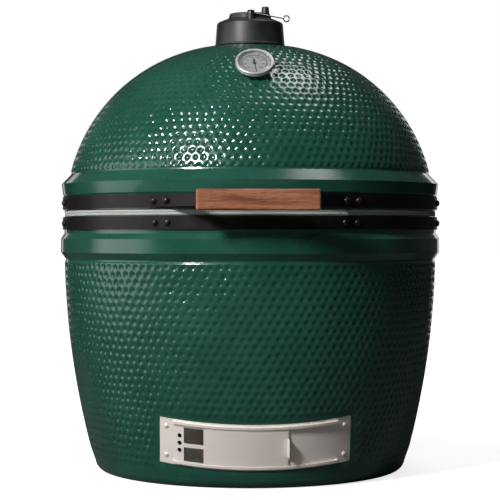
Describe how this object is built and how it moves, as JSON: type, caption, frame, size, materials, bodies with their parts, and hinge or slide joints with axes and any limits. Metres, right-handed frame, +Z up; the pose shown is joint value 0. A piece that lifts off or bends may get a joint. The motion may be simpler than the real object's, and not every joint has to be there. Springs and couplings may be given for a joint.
{
  "type": "kamado ceramic grill",
  "caption": "Egg-shaped ceramic charcoal grill with a hinged domed lid, wooden handle, dial thermometer, vent cap and sliding draft door.",
  "frame": {"origin": "centre of the flat foot, on the floor", "axes": "+Z up, -Y the front with the handle and draft door, +Y the hinge, +X to the right seen from the front"},
  "size_m": [0.8066, 0.9508, 0.9854],
  "materials": {
    "glaze": "glossy deep green glaze over a dimpled body",
    "felt": "pressed felt",
    "black_steel": "satin black powder coat",
    "black_hardware": "blackened bolts",
    "plated_steel": "zinc plated",
    "spring_steel": "oiled spring wire",
    "bronze": "sintered bush",
    "firebrick": "unglazed, matt",
    "cast_iron": "raw casting",
    "grid_steel": "stainless rod",
    "stainless": "brushed stainless sheet",
    "mesh_steel": "woven stainless wire",
    "grip_wood": "oiled reddish hardwood",
    "bezel_steel": "turned stainless",
    "dial_glass": "clear",
    "dial_white": "printed dial",
    "needle_black": "matt black",
    "cap_iron": "satin black coated casting",
    "wire_steel": "bright spring wire",
    "knob_black": "moulded, satin"
  },
  "bodies": {
    "base": {"base_shell": "glaze", "base_gasket": "felt", "lower_band": "black_steel", "lower_band_bolts": "black_hardware", "fire_bowl": "firebrick", "fire_grate": "cast_iron", "fire_ring": "firebrick", "cooking_grid": "grid_steel", "hinge_base_bracket": "black_steel", "hinge_base_bolts": "black_hardware", "hinge_pin": "plated_steel", "hinge_nut": "plated_steel", "hinge_springs": "spring_steel", "hinge_stop_bolt": "black_hardware", "draft_frame": "stainless", "draft_screws": "stainless"},
    "lid": {"dome_shell": "glaze", "dome_gasket": "felt", "upper_band": "black_steel", "upper_band_bolts": "black_hardware", "handle_bracket": "black_steel", "handle_bolts": "black_hardware", "handle_grip": "grip_wood", "grip_screws": "black_hardware", "hinge_dome_bracket": "black_steel", "hinge_dome_bolts": "black_hardware", "hinge_bushes": "bronze", "dial_case": "bezel_steel", "dial_glass": "dial_glass", "dial_face": "dial_white", "dial_stem": "bezel_steel", "dial_clip": "spring_steel", "vent_gasket": "felt"},
    "needle": {"dial_needle": "needle_black"},
    "vent_cap": {"vent_collar": "cap_iron", "vent_pivot_screw": "black_hardware"},
    "swing_disc": {"vent_disc": "cap_iron", "vent_handle": "wire_steel", "damper_rivet": "plated_steel"},
    "damper": {"damper_wheel": "cap_iron", "damper_knob": "knob_black"},
    "door": {"draft_door": "stainless"},
    "screen": {"spark_screen": "stainless", "spark_mesh": "mesh_steel"}
  },
  "joints": [
    {"name": "lid_hinge", "type": "hinge", "parent": "base", "child": "lid", "pos_m": [0, 0.45, 0.5415], "axis": [-1, 0, 0], "range_deg": [0, 78]},
    {"name": "needle_turn", "type": "hinge", "parent": "lid", "child": "needle", "pos_m": [0, -0.25262, 0.82588], "axis": [0, 0.7193, -0.6947], "range_deg": [0, 270]},
    {"name": "cap_lift", "type": "slide", "parent": "lid", "child": "vent_cap", "axis": [0, 0, 1], "range_m": [0, 0.08]},
    {"name": "disc_swing", "type": "hinge", "parent": "vent_cap", "child": "swing_disc", "pos_m": [0, -0.0575, 0.962], "axis": [0, 0, -1], "range_deg": [0, 100]},
    {"name": "damper_turn", "type": "hinge", "parent": "swing_disc", "child": "damper", "pos_m": [0, 0, 0.967], "axis": [0, 0, 1], "range_deg": [0, 45]},
    {"name": "door_slide", "type": "hinge", "parent": "base", "child": "door", "pos_m": [0, 0, 0.1696], "axis": [0, -0.2419, 0.9703], "range_deg": [-10, 16]},
    {"name": "screen_slide", "type": "hinge", "parent": "base", "child": "screen", "pos_m": [0, 0, 0.1696], "axis": [0, -0.2419, 0.9703], "range_deg": [0, 26]}
  ]
}
